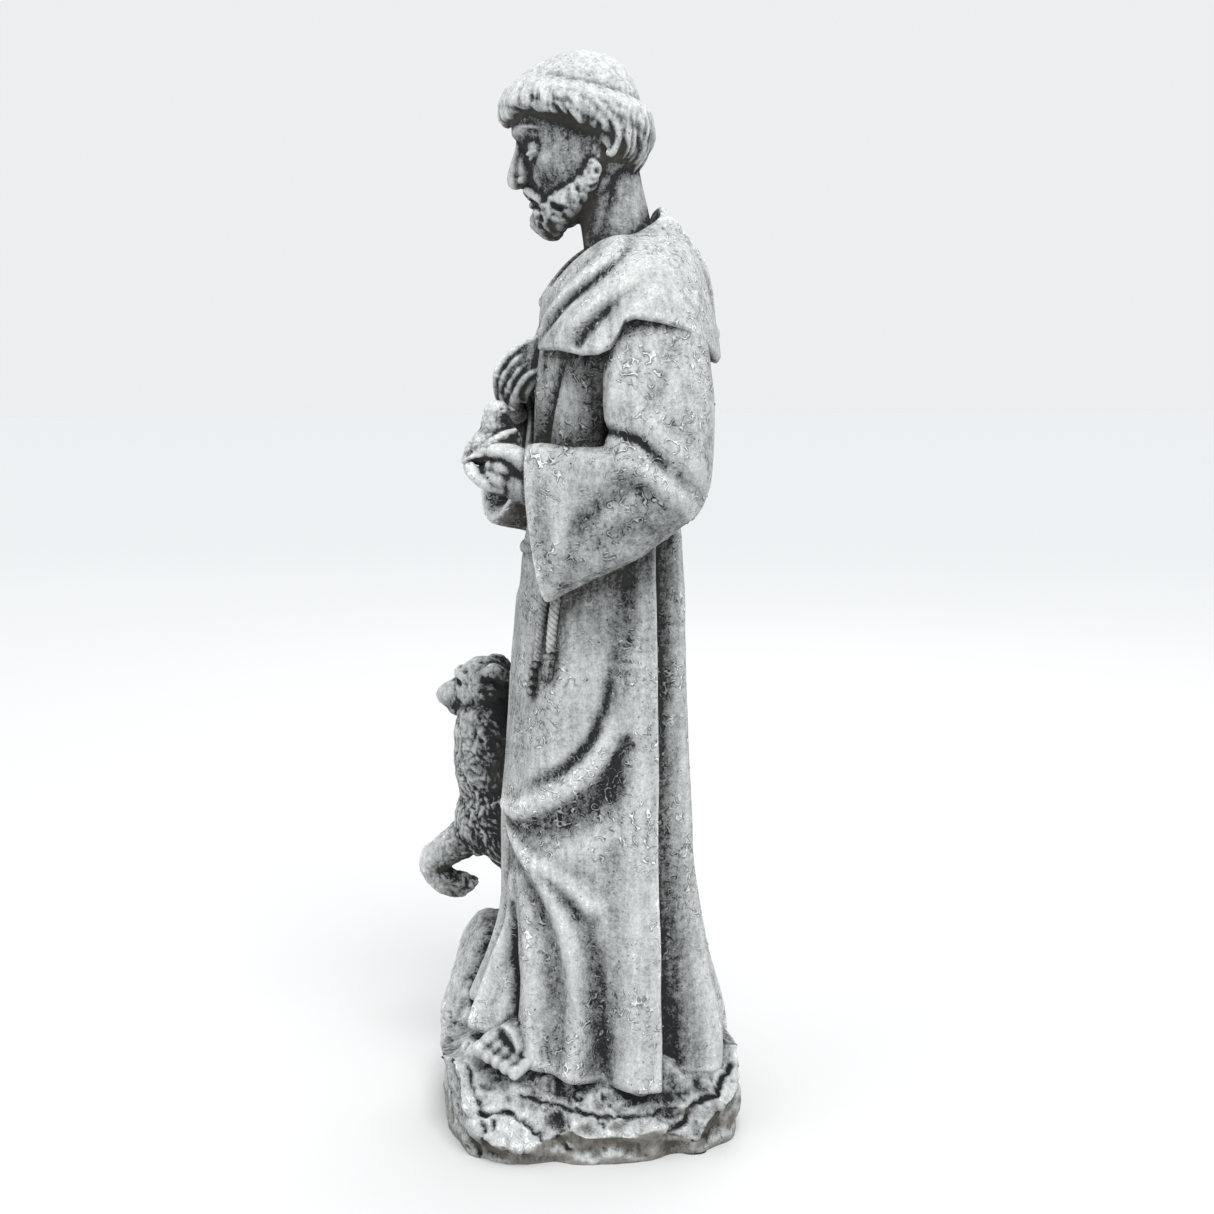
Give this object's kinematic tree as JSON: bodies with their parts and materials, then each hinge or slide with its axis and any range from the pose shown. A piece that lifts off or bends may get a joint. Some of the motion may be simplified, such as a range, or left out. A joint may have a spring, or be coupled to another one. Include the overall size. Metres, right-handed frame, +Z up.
{
  "type": "saint statue",
  "caption": "Garden statue of a bearded friar saint in a caped habit, with a bird on one hand and a seated wolf at the knee, cast with its rock base.",
  "frame": {"origin": "on the flat underside of the rock base, under the middle of the figure", "axes": "+Z up, -Y the way the saint faces, +X the saint's left"},
  "size_m": [0.2595, 0.2399, 0.8001],
  "materials": {
    "cast_stone": "matt cast stone, antiqued: pale raised parts over a charcoal wash in the hollows"
  },
  "bodies": {
    "root": {"saint_statue": "cast_stone"}
  },
  "joints": []
}
